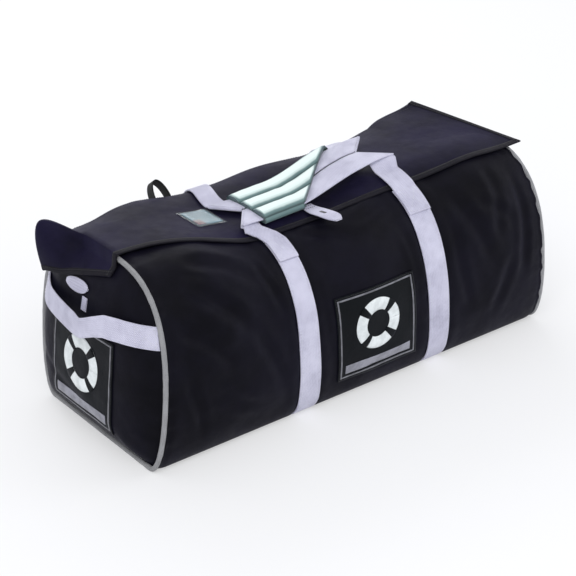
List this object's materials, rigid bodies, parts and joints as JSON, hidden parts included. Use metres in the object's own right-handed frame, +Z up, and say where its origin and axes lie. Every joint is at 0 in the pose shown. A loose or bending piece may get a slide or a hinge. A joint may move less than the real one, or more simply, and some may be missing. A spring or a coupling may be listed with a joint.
{
  "type": "liferaft valise",
  "caption": "Packed liferaft valise: black zipped fabric bag with pale girth straps, gripped carry handles, end handles, a weather flap and piped ends.",
  "frame": {"origin": "centre of the flat base, on the surface that the bag stands on", "axes": "+X along the bag, away from the end with the zip's white tag; -Y out of the face with the patch; +Z up"},
  "size_m": [0.8342, 0.34, 0.3319],
  "materials": {
    "black_fabric": "coated nylon, low sheen",
    "navy_fabric": "coated nylon, low sheen",
    "grey_piping": "woven cord covering",
    "white_webbing": "woven webbing",
    "black_webbing": "woven webbing",
    "mint_grip": "padded coated fabric",
    "zip_tape": "woven tape",
    "dark_metal": "dark, satin",
    "white_print": "coated fabric print",
    "grey_strip": "coated fabric",
    "clear_film": "clear and glossy",
    "slate_card": "matt"
  },
  "bodies": {
    "root": {"packed_bag": "black_fabric", "left_end_panel": "black_fabric", "right_end_panel": "black_fabric", "left_piping": "grey_piping", "right_piping": "grey_piping", "left_girth_strap": "white_webbing", "right_girth_strap": "white_webbing", "weather_flap": "navy_fabric", "zip_tape": "zip_tape", "front_handle": "white_webbing", "back_handle": "white_webbing", "handle_grip": "mint_grip", "left_end_handle": "white_webbing", "right_end_handle": "white_webbing", "zip_slider": "dark_metal", "pull_tag": "white_webbing", "pull_tail": "white_webbing", "lashing_loop": "black_webbing", "pocket_card": "slate_card", "pocket_film": "clear_film", "flap_tab": "white_webbing", "front_patch": "black_fabric", "front_ring": "white_print", "front_strip": "grey_strip", "end_patch": "black_fabric", "end_ring": "white_print", "end_strip": "grey_strip"}
  },
  "joints": []
}
